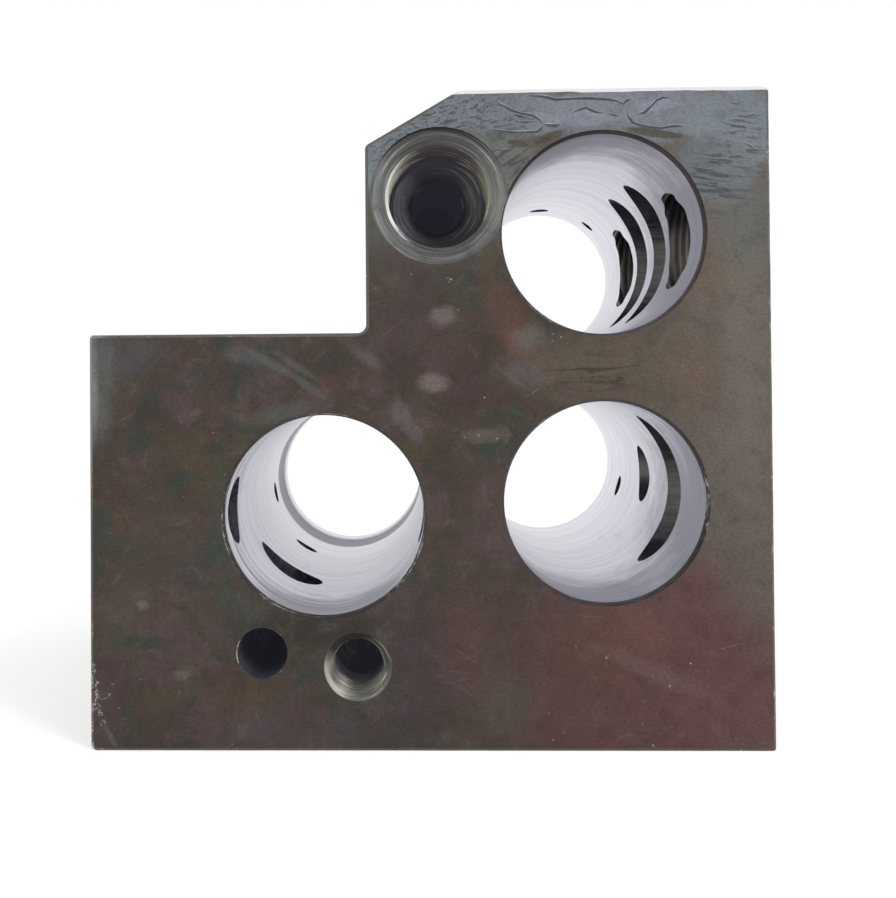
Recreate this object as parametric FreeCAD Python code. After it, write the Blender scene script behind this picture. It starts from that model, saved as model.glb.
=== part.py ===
"""Hydraulic valve body: one machined steel block with three through bores.

Lengths are in millimetres. X runs to the right, Y from the front face to the rear face
and Z up. The origin lies under the middle of the block, on the face it stands on.
"""

import FreeCAD, Part
import math
import os

# Block, as an L-shaped outline seen from the front: a tall column with a shelf on its left
BLOCK_WIDTH = 136.0
BLOCK_DEPTH = 129.0
BLOCK_HEIGHT = 131.6
COLUMN_WIDTH = 80.3
SHELF_HEIGHT = 83.1
SHELF_CORNER_RADIUS = 1.8
SHOULDER_CUT_WIDTH = 19.0
SHOULDER_CUT_ANGLE = 30.0
EDGE_BREAK = 0.6
HEEL_RADIUS = 1.3

# Three through bores. Those in the column are placed from the right and top faces.
BORE_DIAMETER = 40.0
RIGHT_BORES_FROM_RIGHT = 33.0
UPPER_BORE_FROM_TOP = 29.0
LOWER_BORE_HEIGHT = 49.1
LEFT_BORE_FROM_LEFT = 47.0
LEFT_BORE_HEIGHT = 46.7
LEAD_IN_LENGTH = 1.7
LEAD_IN_ANGLE = 18.0

# Relief ring near the rear of the left bore, with a slow run-out towards the front
RELIEF_RADIAL_DEPTH = 0.4
RELIEF_LENGTH = 14.0
RELIEF_RUN_OUT = 6.0
RELIEF_REAR_LAND = 8.0

# Threaded port in the front face, beside the upper bore
PORT_FROM_RIGHT = 65.6
PORT_FROM_TOP = 21.2
PORT_THREAD_DIAMETER = 22.0
PORT_THREAD_PITCH = 1.5
PORT_SPOTFACE_DIAMETER = 27.5
PORT_SPOTFACE_DEPTH = 0.8
PORT_MOUTH_DIAMETER = 24.6
PORT_CORE_DEPTH = 16.0
PORT_CHANNEL_DIAMETER = 11.0
PORT_CHANNEL_DEPTH = 58.0

# The row of openings from the right face into the upper bore, evenly spaced from front to
# rear: a port with the same thread, two round-ended windows and another such port
UPPER_ROW_DEPTH = 22.8
UPPER_ROW_PITCH = 22.4
SIDE_PORT_RISE = 0.6
SIDE_PORT_MOUTH_DIAMETER = 22.8
WINDOW_WIDTH = 14.0
WINDOW_LENGTH = 32.4

# The same window again, into the lower right bore
LOWER_WINDOW_DEPTH = 31.7

# Drilled passages: distances behind the front face, and from the axis of the bore they enter
PASSAGE_DIAMETER = 14.0
PASSAGE_CHAMFER = 0.8
RIGHT_PASSAGE_DEPTH = 67.7
RIGHT_PASSAGE_RISE = 0.5
LEFT_PASSAGE_DEPTH = 12.3
BOTTOM_PASSAGE_DEPTH = 39.4
BOTTOM_PASSAGE_OFFSET = 10.2

# Narrow pilot drillings
PILOT_DIAMETER = 5.4
PILOT_CHAMFER = 0.3
RIGHT_PILOT_FROM_REAR = 26.0
RIGHT_PILOT_DROP = 5.6
LEFT_PILOT_FROM_REAR = 36.8
LEFT_PILOT_DROP = 3.6
BOTTOM_PILOT_DEPTH = 81.4
BOTTOM_PILOT_OFFSET = 10.4
TOP_PILOT_FROM_REAR = 12.9
TOP_PILOT_OFFSET = 0.9
BLEED_DIAMETER = 4.0
BLEED_FROM_REAR = 13.8
BLEED_ANGLE = 49.5

# Two small holes in the front face, under the left bore
DOWEL_FROM_LEFT = 34.5
DOWEL_HEIGHT = 19.4
DOWEL_DIAMETER = 10.0
DOWEL_DEPTH = 25.0
DOWEL_CHAMFER = 0.2
SCREW_FROM_LEFT = 53.6
SCREW_HEIGHT = 16.7
SCREW_THREAD_DIAMETER = 12.0
SCREW_THREAD_PITCH = 1.75
SCREW_MOUTH_DIAMETER = 13.5
SCREW_CORE_DEPTH = 22.5

# Cutting tools
DRILL_POINT_ANGLE = 118.0
COUNTERSINK_ANGLE = 90.0
CORE_PER_PITCH = 1.0825
OVERCUT = 2.0
SAME_PLACE = 0.01
SAME_DIRECTION = 0.999

# Places that follow from the sizes above
SHELF_WIDTH = BLOCK_WIDTH - COLUMN_WIDTH
RIGHT_BORES_FROM_LEFT = BLOCK_WIDTH - RIGHT_BORES_FROM_RIGHT
UPPER_BORE_HEIGHT = BLOCK_HEIGHT - UPPER_BORE_FROM_TOP
PORT_FROM_LEFT = BLOCK_WIDTH - PORT_FROM_RIGHT
PORT_HEIGHT = BLOCK_HEIGHT - PORT_FROM_TOP

INTO_FRONT = FreeCAD.Vector(0, 1, 0)
INTO_RIGHT = FreeCAD.Vector(-1, 0, 0)
INTO_LEFT = FreeCAD.Vector(1, 0, 0)
INTO_BOTTOM = FreeCAD.Vector(0, 0, 1)
INTO_TOP = FreeCAD.Vector(0, 0, -1)


def at(from_left, from_front, height):
    """The point at these distances from the left, front and bottom faces."""
    return FreeCAD.Vector(from_left - BLOCK_WIDTH / 2, from_front - BLOCK_DEPTH / 2, height)


def thread_core(diameter, pitch):
    """Core diameter of a metric thread: the hole before it is tapped."""
    return diameter - CORE_PER_PITCH * pitch


def cone_length(large_radius, small_radius, full_angle):
    """Axial length of a cone between two radii."""
    return (large_radius - small_radius) / math.tan(math.radians(full_angle / 2))


def stepped_hole(mouth, direction, steps):
    """The solid that a turned hole removes. Each step is (depth under the mouth, radius)."""
    mouth_radius = steps[0][1]
    end_depth, end_radius = steps[-1]
    points = [FreeCAD.Vector(0, 0, -OVERCUT), FreeCAD.Vector(mouth_radius, 0, -OVERCUT)]
    points += [FreeCAD.Vector(radius, 0, depth) for depth, radius in steps]
    if end_radius > 0:
        points.append(FreeCAD.Vector(0, 0, end_depth))
    section = Part.Face(Part.makePolygon(points + [points[0]]))
    tool = section.revolve(FreeCAD.Vector(0, 0, 0), FreeCAD.Vector(0, 0, 1), 360)
    turn = FreeCAD.Rotation(FreeCAD.Vector(0, 0, 1), direction)
    tool.Placement = FreeCAD.Placement(mouth, turn)
    return tool


def blind_hole_end(radius, depth):
    """The last two steps of a blind hole: its full depth and the drill's point."""
    return [(depth, radius), (depth + cone_length(radius, 0, DRILL_POINT_ANGLE), 0)]


def chamfered_mouth(radius, chamfer):
    """The first two steps of a hole with a 45 degree chamfer."""
    return [(0, radius + chamfer), (chamfer, radius)]


def block_outline():
    """The L-shaped outline on the front face, with its shoulder cut, as a closed wire."""
    drop = SHOULDER_CUT_WIDTH * math.tan(math.radians(SHOULDER_CUT_ANGLE))
    corners = [
        at(0, 0, 0),
        at(BLOCK_WIDTH, 0, 0),
        at(BLOCK_WIDTH, 0, BLOCK_HEIGHT),
        at(SHELF_WIDTH + SHOULDER_CUT_WIDTH, 0, BLOCK_HEIGHT),
        at(SHELF_WIDTH, 0, BLOCK_HEIGHT - drop),
        at(SHELF_WIDTH, 0, SHELF_HEIGHT),
        at(0, 0, SHELF_HEIGHT),
    ]
    return Part.makePolygon(corners + [corners[0]])


def edges_through(solid, corner):
    """The edges that run from front to back through a corner of the outline."""
    found = []
    for edge in solid.Edges:
        start = edge.Vertexes[0].Point
        end = edge.Vertexes[-1].Point
        aside = math.hypot(start.x - corner.x, start.z - corner.z)
        if abs(end.y - start.y) > SAME_PLACE and aside < SAME_PLACE:
            found.append(edge)
    return found


def is_sharp(solid, edge):
    """Whether the two faces beside a straight edge meet at a corner."""
    middle = (edge.Vertexes[0].Point + edge.Vertexes[-1].Point) / 2
    normals = []
    for face in solid.ancestorsOfType(edge, Part.Face):
        u, v = face.Surface.parameter(middle)
        normals.append(face.normalAt(u, v))
    return abs(normals[0].dot(normals[1])) < SAME_DIRECTION


def block():
    """The milled blank: inner corner and heel rounded, every other outer edge broken."""
    solid = Part.Face(block_outline()).extrude(INTO_FRONT * BLOCK_DEPTH)
    inner_corner = edges_through(solid, at(SHELF_WIDTH, 0, SHELF_HEIGHT))
    solid = solid.makeFillet(SHELF_CORNER_RADIUS, inner_corner)
    solid = solid.makeFillet(HEEL_RADIUS, edges_through(solid, at(0, 0, 0)))
    outer = []
    for edge in solid.Edges:
        on_outline = edge.Vertexes[0].Point.y == edge.Vertexes[-1].Point.y
        if on_outline or is_sharp(solid, edge):
            outer.append(edge)
    return solid.makeChamfer(EDGE_BREAK, outer)


def main_bore(from_left, height):
    """A through bore with a steep lead-in at each end."""
    radius = BORE_DIAMETER / 2
    flare = LEAD_IN_LENGTH * math.tan(math.radians(LEAD_IN_ANGLE))
    steps = [
        (0, radius + flare),
        (LEAD_IN_LENGTH, radius),
        (BLOCK_DEPTH - LEAD_IN_LENGTH, radius),
        (BLOCK_DEPTH, radius + flare),
        (BLOCK_DEPTH + OVERCUT, radius + flare),
    ]
    return stepped_hole(at(from_left, 0, height), INTO_FRONT, steps)


def relief_ring():
    """The shallow ring near the rear of the left bore: slow run-out, square rear shoulder."""
    radius = BORE_DIAMETER / 2
    rear = BLOCK_DEPTH - RELIEF_REAR_LAND
    front = rear - RELIEF_LENGTH
    steps = [
        (front - RELIEF_RUN_OUT, radius),
        (front, radius + RELIEF_RADIAL_DEPTH),
        (rear, radius + RELIEF_RADIAL_DEPTH),
    ]
    return stepped_hole(at(LEFT_BORE_FROM_LEFT, 0, LEFT_BORE_HEIGHT), INTO_FRONT, steps)


def front_port():
    """Spotface, chamfered mouth, thread core, drill point and the channel behind it."""
    core = thread_core(PORT_THREAD_DIAMETER, PORT_THREAD_PITCH) / 2
    mouth = PORT_MOUTH_DIAMETER / 2
    channel = PORT_CHANNEL_DIAMETER / 2
    spotface = PORT_SPOTFACE_DIAMETER / 2
    steps = [
        (0, spotface),
        (PORT_SPOTFACE_DEPTH, spotface),
        (PORT_SPOTFACE_DEPTH, mouth),
        (PORT_SPOTFACE_DEPTH + cone_length(mouth, core, COUNTERSINK_ANGLE), core),
        (PORT_CORE_DEPTH, core),
        (PORT_CORE_DEPTH + cone_length(core, channel, DRILL_POINT_ANGLE), channel),
    ]
    steps += blind_hole_end(channel, PORT_CHANNEL_DEPTH)
    return stepped_hole(at(PORT_FROM_LEFT, 0, PORT_HEIGHT), INTO_FRONT, steps)


def side_port(depth):
    """A threaded port from the right face into the upper bore."""
    core = thread_core(PORT_THREAD_DIAMETER, PORT_THREAD_PITCH) / 2
    mouth = SIDE_PORT_MOUTH_DIAMETER / 2
    steps = [(0, mouth), (cone_length(mouth, core, COUNTERSINK_ANGLE), core)]
    steps.append((BLOCK_WIDTH - RIGHT_BORES_FROM_LEFT, core))
    centre = at(BLOCK_WIDTH, depth, UPPER_BORE_HEIGHT + SIDE_PORT_RISE)
    return stepped_hole(centre, INTO_RIGHT, steps)


def window(depth, bore_height):
    """A round-ended slot from the right face to the axis of a bore, level with the bore."""
    radius = WINDOW_WIDTH / 2
    half_straight = WINDOW_LENGTH / 2 - radius
    outside = BLOCK_WIDTH + OVERCUT
    top = at(outside, depth, bore_height + half_straight)
    bottom = at(outside, depth, bore_height - half_straight)
    across = FreeCAD.Vector(0, radius, 0)
    along = FreeCAD.Vector(0, 0, radius)
    sides = [
        Part.Arc(top - across, top + along, top + across),
        Part.LineSegment(top + across, bottom + across),
        Part.Arc(bottom + across, bottom - along, bottom - across),
        Part.LineSegment(bottom - across, top - across),
    ]
    face = Part.Face(Part.Wire([side.toShape() for side in sides]))
    return face.extrude(INTO_RIGHT * (outside - RIGHT_BORES_FROM_LEFT))


def upper_row():
    """The evenly spaced openings into the upper bore: port, window, window, port."""
    depths = [UPPER_ROW_DEPTH + place * UPPER_ROW_PITCH for place in range(4)]
    return [
        side_port(depths[0]),
        window(depths[1], UPPER_BORE_HEIGHT),
        window(depths[2], UPPER_BORE_HEIGHT),
        side_port(depths[3]),
    ]


def drilling(mouth, direction, reach, diameter, chamfer):
    """A drilling from a face that runs out in a bore, with a small chamfer at its mouth."""
    steps = chamfered_mouth(diameter / 2, chamfer) + [(reach, diameter / 2)]
    return stepped_hole(mouth, direction, steps)


def passages():
    """The wide cross drillings. The left one crosses the left bore into the lower right one."""
    right = at(BLOCK_WIDTH, RIGHT_PASSAGE_DEPTH, LOWER_BORE_HEIGHT + RIGHT_PASSAGE_RISE)
    left = at(0, LEFT_PASSAGE_DEPTH, LEFT_BORE_HEIGHT)
    bottom_from_left = LEFT_BORE_FROM_LEFT - BOTTOM_PASSAGE_OFFSET
    bottom = at(bottom_from_left, BOTTOM_PASSAGE_DEPTH, 0)
    starts = [
        (right, INTO_RIGHT, BLOCK_WIDTH - RIGHT_BORES_FROM_LEFT),
        (left, INTO_LEFT, RIGHT_BORES_FROM_LEFT),
        (bottom, INTO_BOTTOM, LEFT_BORE_HEIGHT),
    ]
    return [drilling(*start, PASSAGE_DIAMETER, PASSAGE_CHAMFER) for start in starts]


def pilots():
    """The narrow drillings from the right, left, bottom and top faces."""
    right_depth = BLOCK_DEPTH - RIGHT_PILOT_FROM_REAR
    left_depth = BLOCK_DEPTH - LEFT_PILOT_FROM_REAR
    top_depth = BLOCK_DEPTH - TOP_PILOT_FROM_REAR
    right = at(BLOCK_WIDTH, right_depth, LOWER_BORE_HEIGHT - RIGHT_PILOT_DROP)
    left = at(0, left_depth, LEFT_BORE_HEIGHT - LEFT_PILOT_DROP)
    bottom = at(LEFT_BORE_FROM_LEFT - BOTTOM_PILOT_OFFSET, BOTTOM_PILOT_DEPTH, 0)
    top = at(RIGHT_BORES_FROM_LEFT - TOP_PILOT_OFFSET, top_depth, BLOCK_HEIGHT)
    starts = [
        (right, INTO_RIGHT, BLOCK_WIDTH - RIGHT_BORES_FROM_LEFT),
        (left, INTO_LEFT, LEFT_BORE_FROM_LEFT),
        (bottom, INTO_BOTTOM, LEFT_BORE_HEIGHT),
        (top, INTO_TOP, BLOCK_HEIGHT - UPPER_BORE_HEIGHT),
    ]
    return [drilling(*start, PILOT_DIAMETER, PILOT_CHAMFER) for start in starts]


def bleed():
    """A slanted drilling from the axis of the upper bore up through the top face."""
    slope = math.radians(BLEED_ANGLE)
    direction = FreeCAD.Vector(math.cos(slope), 0, math.sin(slope))
    start = at(RIGHT_BORES_FROM_LEFT, BLOCK_DEPTH - BLEED_FROM_REAR, UPPER_BORE_HEIGHT)
    reach = (BLOCK_HEIGHT - UPPER_BORE_HEIGHT) / direction.z + 2 * OVERCUT
    return Part.makeCylinder(BLEED_DIAMETER / 2, reach, start, direction)


def dowel_hole():
    """A plain blind hole in the front face."""
    radius = DOWEL_DIAMETER / 2
    steps = chamfered_mouth(radius, DOWEL_CHAMFER) + blind_hole_end(radius, DOWEL_DEPTH)
    return stepped_hole(at(DOWEL_FROM_LEFT, 0, DOWEL_HEIGHT), INTO_FRONT, steps)


def screw_hole():
    """A countersunk tapped hole in the front face, at its core diameter."""
    core = thread_core(SCREW_THREAD_DIAMETER, SCREW_THREAD_PITCH) / 2
    mouth = SCREW_MOUTH_DIAMETER / 2
    steps = [(0, mouth), (cone_length(mouth, core, COUNTERSINK_ANGLE), core)]
    steps += blind_hole_end(core, SCREW_CORE_DEPTH)
    return stepped_hole(at(SCREW_FROM_LEFT, 0, SCREW_HEIGHT), INTO_FRONT, steps)


def valve_body():
    """The finished block."""
    tools = [
        main_bore(RIGHT_BORES_FROM_LEFT, UPPER_BORE_HEIGHT),
        main_bore(RIGHT_BORES_FROM_LEFT, LOWER_BORE_HEIGHT),
        main_bore(LEFT_BORE_FROM_LEFT, LEFT_BORE_HEIGHT),
        relief_ring(),
        front_port(),
        window(LOWER_WINDOW_DEPTH, LOWER_BORE_HEIGHT),
        bleed(),
        dowel_hole(),
        screw_hole(),
    ]
    tools += upper_row()
    tools += passages()
    tools += pilots()
    return block().cut(tools)


os.makedirs("parts", exist_ok=True)
body = valve_body()
body.exportStep("parts/valve_body.step")
print("solids", len(body.Solids), "valid", body.isValid(), "volume", round(body.Volume))
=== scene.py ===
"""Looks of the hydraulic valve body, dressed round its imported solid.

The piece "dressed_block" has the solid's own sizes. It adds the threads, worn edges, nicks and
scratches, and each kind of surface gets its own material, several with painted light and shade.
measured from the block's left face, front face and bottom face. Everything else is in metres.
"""

import random
from math import cos, hypot, pi, radians, sin, tan, tau

import bmesh
import bpy
from mathutils import Euler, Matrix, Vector, noise


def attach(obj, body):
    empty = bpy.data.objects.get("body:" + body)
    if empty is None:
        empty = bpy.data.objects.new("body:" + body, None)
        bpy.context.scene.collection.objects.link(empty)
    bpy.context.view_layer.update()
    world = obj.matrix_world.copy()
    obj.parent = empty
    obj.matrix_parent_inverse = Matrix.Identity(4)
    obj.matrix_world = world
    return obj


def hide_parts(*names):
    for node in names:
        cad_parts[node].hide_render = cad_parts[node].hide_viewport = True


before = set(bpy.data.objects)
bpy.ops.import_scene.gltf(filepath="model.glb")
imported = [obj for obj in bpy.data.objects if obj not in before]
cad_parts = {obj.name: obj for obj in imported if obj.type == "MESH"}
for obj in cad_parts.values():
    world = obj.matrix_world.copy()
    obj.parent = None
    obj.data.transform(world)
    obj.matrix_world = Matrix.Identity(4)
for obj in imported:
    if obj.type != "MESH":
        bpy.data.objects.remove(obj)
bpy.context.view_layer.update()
random.seed(22)

MM = 0.001

# The block and its holes, as in the part's source. Threads are (diameter, pitch), passages and
# pilots (radius, chamfer), windows (width, height) and the port's spotface (radius, depth).
BLOCK_MM = (136.0, 129.0, 131.6)
COLUMN_WIDTH_MM = 80.3
SHELF_MM = BLOCK_MM[0] - COLUMN_WIDTH_MM
SHELF_HEIGHT_MM = 83.1
SHELF_CORNER_RADIUS_MM = 1.8
SHOULDER_WIDTH_MM = 19.0
SHOULDER_ANGLE = 30.0
EDGE_BREAK_MM = 0.6
HEEL_RADIUS_MM = 1.3
BORE_RADIUS_MM = 20.0
UPPER_BORE_MM = (103.0, 102.6)
LOWER_BORE_MM = (103.0, 49.1)
LEFT_BORE_MM = (47.0, 46.7)
LEAD_IN_MM = 1.7
LEAD_IN_ANGLE = 18.0
# Depths at which the relief ring starts, is full and ends
RELIEF_MM = (101.0, 107.0, 121.0)
RELIEF_RADIAL_MM = 0.4
RELIEF_RUN_OUT_MM = 0.5
PORT_MM = (70.4, 110.4)
PORT_SPOTFACE_MM = (13.75, 0.8)
PORT_MOUTH_RADIUS_MM = 12.3
PORT_CORE_DEPTH_MM = 16.0
PORT_CHANNEL_RADIUS_MM = 5.5
PORT_CHANNEL_DEPTH_MM = 58.0
PORT_THREAD_MM = (22.0, 1.5)
UPPER_ROW_MM = 22.8
UPPER_ROW_PITCH_MM = 22.4
SIDE_PORT_RISE_MM = 0.6
SIDE_PORT_MOUTH_RADIUS_MM = 11.4
WINDOW_MM = (14.0, 32.4)
LOWER_WINDOW_DEPTH_MM = 31.7
PASSAGE_SIZE_MM = (7.0, 0.8)
RIGHT_PASSAGE_MM = (67.7, 49.6)
LEFT_PASSAGE_MM = (12.3, 46.7)
BOTTOM_PASSAGE_MM = (36.8, 39.4)
PILOT_SIZE_MM = (2.7, 0.3)
RIGHT_PILOT_MM = (103.0, 43.5)
LEFT_PILOT_MM = (92.2, 43.1)
BOTTOM_PILOT_MM = (36.6, 81.4)
TOP_PILOT_MM = (102.1, 116.1)
BLEED_RADIUS_MM = 2.0
BLEED_ANGLE = 49.5
BLEED_DEPTH_MM = 115.2
DOWEL_MM = (34.5, 19.4)
DOWEL_RADIUS_MM = 5.0
DOWEL_DEPTH_MM = 25.0
DOWEL_CHAMFER_MM = 0.2
SCREW_MM = (53.6, 16.7)
SCREW_THREAD_MM = (12.0, 1.75)
SCREW_MOUTH_RADIUS_MM = 6.75
SCREW_CORE_DEPTH_MM = 22.5
DRILL_HALF_ANGLE = 59.0
CORE_PER_PITCH = 1.0825

# The cutters' own sizes: how far they start outside the block, their tips' radius, the first and
# last depth of a thread or drilling, and how far the thread cutters' roots lie in the core
OVERCUT_MM = 2.0
TIP_MM = 0.01
PORT_THREAD_RUN_MM = (-2.0, 14.5)
SIDE_THREAD_RUN_MM = (-3.0, 19.0)
SCREW_THREAD_RUN_MM = (-2.0, 17.0)
BLEED_RUN_MM = (5.0, 42.0)
ROOT_PER_PITCH = 0.28 / 1.5

# The photograph's camera
CAMERA_MM = (-3.18, -313.66, 73.99)
CAMERA_TURN = (90.877, 0.426, 1.67)
CAMERA_LENS = 50.11
CAMERA_SHIFT = (0.0804, -0.0998)

# The ways into the block through its faces
FRONT = Vector((0, 1, 0))
RIGHT = Vector((-1, 0, 0))
LEFT = Vector((1, 0, 0))
BOTTOM = Vector((0, 0, 1))
TOP = Vector((0, 0, -1))


def at(from_left, from_front, height):
    """A point in the frame from its distances to the left, front and bottom faces, in mm."""
    width, depth, _ = BLOCK_MM
    return Vector((from_left - width / 2, from_front - depth / 2, height)) * MM


def x_at(from_left):
    return at(from_left, 0, 0).x


def y_at(from_front):
    return at(0, from_front, 0).y


def behind(place, depth=0.0):
    """The point that lies depth mm behind a place (from left, height) on the front face."""
    return at(place[0], depth, place[1])


def colour(red, green, blue):
    """A colour as it looks on a screen, 0 to 255, turned into Blender's linear numbers."""
    out = []
    for value in (red, green, blue):
        value /= 255
        out.append(value / 12.92 if value <= 0.04045 else ((value + 0.055) / 1.055) ** 2.4)
    return (*out, 1.0)


# Node trees

# How deep a patch of the front face goes
FRONT_REACH_MM = 5.0


class Graph:
    """Short ways to add shader nodes to one material or world."""

    def __init__(self, owner):
        owner.use_nodes = True
        self.owner, self.tree = owner, owner.node_tree
        self.tree.nodes.clear()

    def add(self, kind, inputs=None, **settings):
        made = self.tree.nodes.new("ShaderNode" + kind)
        for key, value in settings.items():
            setattr(made, key, value)
        for key, value in (inputs or {}).items():
            if isinstance(value, bpy.types.NodeSocket):
                self.tree.links.new(value, made.inputs[key])
            else:
                made.inputs[key].default_value = value
        return made

    def math(self, operation, a, b=0.0, c=0.0):
        return self.add("Math", {0: a, 1: b, 2: c}, operation=operation).outputs[0]

    def line(self, value, slope, base):
        """The base plus slope times value."""
        return self.math("MULTIPLY_ADD", value, slope, base)

    def times(self, *factors):
        product = factors[0]
        for factor in factors[1:]:
            product = self.math("MULTIPLY", product, factor)
        return product

    def step(self, value, low, high, to_low=0.0, to_high=1.0):
        """Goes smoothly from to_low to to_high as value goes from low to high."""
        inputs = {"Value": value, "From Min": low, "From Max": high, "To Min": to_low,
                  "To Max": to_high}
        return self.add("MapRange", inputs, interpolation_type="SMOOTHSTEP").outputs["Result"]

    def stretch(self, vector, scale, shift=(0, 0, 0)):
        inputs = {"Vector": vector, "Scale": scale, "Location": shift}
        return self.add("Mapping", inputs).outputs[0]

    def across(self, turn, scale, shift):
        """The place turned about the y axis by degrees, then scaled and shifted."""
        inputs = {"Vector": self.place, "Rotation": (0, radians(turn), 0)}
        return self.stretch(self.add("Mapping", inputs).outputs[0], scale, shift)

    def noise(self, vector, scale, detail=4.0, roughness=0.55, distortion=0.0):
        inputs = {"Vector": vector, "Scale": scale, "Detail": detail, "Roughness": roughness,
                  "Distortion": distortion}
        return self.add("TexNoise", inputs).outputs[0]

    def mix(self, amount, a, b):
        """From a to b as amount goes from 0 to 1. Each is a socket or a screen colour."""
        a, b = (colour(*tone) if isinstance(tone, tuple) else tone for tone in (a, b))
        return self.add("Mix", {0: amount, 6: a, 7: b}, data_type="RGBA").outputs[2]

    def over(self, tone, tint, value, *levels):
        """The tone, and the tint over it by the step of value between the levels."""
        return self.mix(self.step(value, *levels), tone, tint)

    def bump(self, height, strength, distance, **normal):
        inputs = {"Height": height, "Strength": strength, "Distance": distance, **normal}
        return self.add("Bump", inputs).outputs[0]

    def split(self, vector):
        return self.add("SeparateXYZ", {0: vector}).outputs

    def patch(self, centre, radii, blur, wander, amount=1.0, turn=0.0):
        """amount inside a patch and 0 outside, with a soft border that wanders.

        A centre and radii of two numbers lie along the front face.
        """
        if len(centre) == 2:
            centre, radii = (centre[0], 0, centre[1]), (radii[0], FRONT_REACH_MM, radii[1])
        ball = self.add("TexGradient", {"Vector": self.place}, gradient_type="SPHERICAL")
        mapping = ball.texture_mapping
        mapping.vector_type = "TEXTURE"
        mapping.translation = at(*centre)
        mapping.scale = Vector(radii) * 2 * MM
        mapping.rotation = (0, radians(-turn), 0)
        distance = self.line(ball.outputs[1], -2.0, wander)
        return self.step(distance, 1.0 - blur, 1.0 + blur, amount, 0.0)

    def tinted(self, tone, spots, blur, wander):
        """The tone with soft spots, each (centre, radii, colour, amount, turn if it has one)."""
        for centre, radii, tint, amount, *turn in spots:
            tone = self.mix(self.patch(centre, radii, blur, wander, amount, *turn), tone, tint)
        return tone

    def union(self, spots, blur, wander):
        """1 where any of the spots lies, each (centre, radii, turn if it has one)."""
        zone = None
        for centre, radii, *turn in spots:
            spot = self.patch(centre, radii, blur, wander, 1.0, *turn)
            zone = spot if zone is None else self.math("MAXIMUM", zone, spot)
        return zone

    def wander(self, vector, scale, detail=5.0):
        """2 and how far a patch's border strays from its ellipse, as a share of its radii."""
        return self.line(self.noise(vector, scale, detail, 0.74, 0.6), 1.2, 1.4)

    def specked(self, tone, kinds):
        """The tone with sparse small spots of several kinds."""
        for scale, size, share, seed, tint, amount in kinds:
            moved = self.stretch(self.place, (1, 1, 1), (seed, seed * 2, seed * 3))
            cells = self.add("TexVoronoi", {"Vector": moved, "Scale": scale})
            chosen = self.math("GREATER_THAN", self.split(cells.outputs["Color"])[0], 1 - share)
            ragged = self.line(self.noise(moved, 2500, 2), size, cells.outputs["Distance"])
            spot = self.step(ragged, size * 0.9, size * 1.5, amount, 0.0)
            tone = self.mix(self.times(chosen, spot), tone, tint)
        return tone

    def hole(self, centre):
        """The distance from a hole's axis, and the shares of it that lie to the right and up."""
        away = self.add("VectorMath", {0: self.place, 1: behind(centre)}, operation="SUBTRACT")
        x, _, z = self.split(away.outputs[0])
        flat = self.add("CombineXYZ", {0: x, 2: z}).outputs[0]
        radius = self.add("VectorMath", {0: flat}, operation="LENGTH").outputs["Value"]
        return radius, self.math("DIVIDE", x, radius), self.math("DIVIDE", z, radius)

    def compass(self, side, up, tints, turn):
        """Painted light and shade: colours for the left, right, bottom and top of a hole, turned to
        the right.
        """
        turn = radians(turn)
        across = self.line(side, cos(turn), self.times(up, -sin(turn)))
        along = self.line(side, sin(turn), self.times(up, cos(turn)))
        left, right, bottom, top = tints
        level = self.over(left, right, across, -0.6, 0.6)
        upright = self.over(bottom, top, along, -0.4, 0.4)
        return self.mix(self.step(self.math("ABSOLUTE", along), 0.3, 0.92), level, upright)

    def arcs(self, distance, side, up, spacing):
        """Uneven tool marks round a hole, about spacing mm apart."""
        turns = self.times(distance, 1 / (spacing * MM))
        way = self.add("CombineXYZ", {0: turns, 1: self.times(side, 0.9), 2: self.times(up, 0.9)})
        return self.noise(way.outputs[0], 1.0, 3, 0.6)

    def surface(self, **inputs):
        """Ends the material with one principled shader and gives the material."""
        named = {key.replace("_", " "): value for key, value in inputs.items()}
        shader = self.add("BsdfPrincipled", named)
        self.add("OutputMaterial", {"Surface": shader.outputs[0]})
        return self.owner


def begin(name):
    """The graph of a new material, and where a point of its surface lies in the frame."""
    g = Graph(bpy.data.materials.new(name))
    g.place = g.add("TexCoord").outputs["Object"]
    return g, g.place


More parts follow.
